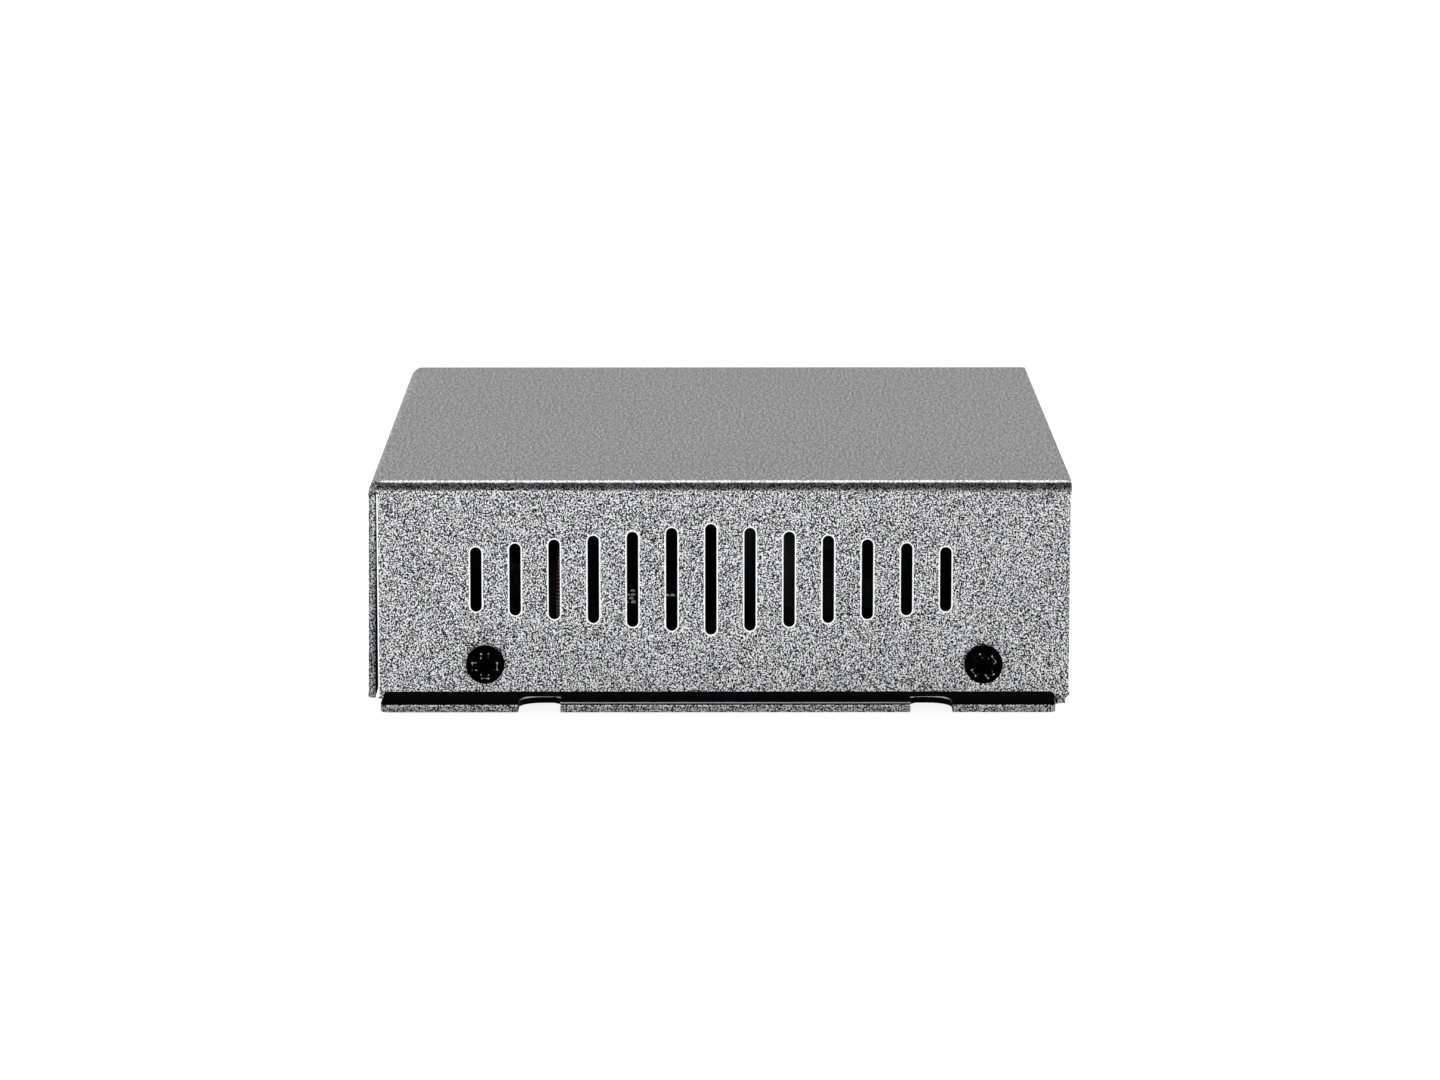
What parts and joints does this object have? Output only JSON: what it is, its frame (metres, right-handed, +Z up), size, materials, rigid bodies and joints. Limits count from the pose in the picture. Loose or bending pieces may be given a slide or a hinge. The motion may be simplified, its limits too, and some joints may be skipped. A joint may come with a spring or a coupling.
{
  "type": "poe splitter",
  "caption": "Low vented case of folded dark-grey steel around a circuit board that splits power from a network cable, with modular sockets and a low-voltage barrel socket.",
  "frame": {"origin": "on the floor, under the middle of the case", "axes": "+Z up from the floor, +Y from the front flange to the rear panel with its sockets, +X across the case, out of one of the two vented sides"},
  "size_m": [0.1084, 0.09, 0.03],
  "materials": {
    "case_paint": "fine speckled metallic powder paint, satin",
    "base_paint": "fine speckled metallic powder paint, satin",
    "black_screw": "black oxide, slightly oily gloss",
    "nickel_plate": "dull nickel plating",
    "gold_contact": "thin gold flash",
    "black_moulding": "fine spark-eroded texture",
    "solder_mask": "satin green lacquer over copper tracks",
    "insulator_film": "matt insulating film",
    "ferrite": "ground dark-grey ferrite",
    "winding_tape": "yellow polyester tape",
    "copper_wire": "enamelled copper",
    "can_sleeve": "shrunk sleeve with a bare aluminium top",
    "heat_sink_metal": "stamped, plain",
    "blue_dip": "dipped epoxy",
    "tan_body": "fired ceramic with tinned ends",
    "black_resistor": "glazed, with tinned ends",
    "clear_lens": "clear moulded epoxy"
  },
  "bodies": {
    "root": {"top_cover": "case_paint", "base_pan": "base_paint", "cover_screws": "black_screw", "insulating_sheet": "insulator_film", "board_standoffs": "nickel_plate", "circuit_board": "solder_mask", "board_screws": "nickel_plate", "poe_input_shield": "nickel_plate", "poe_input_insert": "black_moulding", "poe_input_contacts": "gold_contact", "data_output_shield": "nickel_plate", "data_output_insert": "black_moulding", "data_output_contacts": "gold_contact", "power_output_housing": "black_moulding", "power_output_pin": "nickel_plate", "power_output_spring": "nickel_plate", "transformer_core_halves": "ferrite", "transformer_bobbin": "black_moulding", "transformer_windings": "winding_tape", "output_choke_core": "ferrite", "output_choke_winding": "copper_wire", "input_magnetics": "black_moulding", "output_magnetics": "black_moulding", "bridge_rectifiers": "black_moulding", "surge_suppressor": "black_moulding", "input_capacitor": "can_sleeve", "output_capacitors": "can_sleeve", "power_transistor": "black_moulding", "diode_heat_sink": "heat_sink_metal", "rectifier_diode": "black_moulding", "filter_inductor": "ferrite", "controller_chips": "black_moulding", "optocoupler": "black_moulding", "safety_capacitor": "blue_dip", "chip_resistors": "black_resistor", "chip_capacitors": "tan_body", "led_holders": "black_moulding", "status_leds": "clear_lens"}
  },
  "joints": []
}
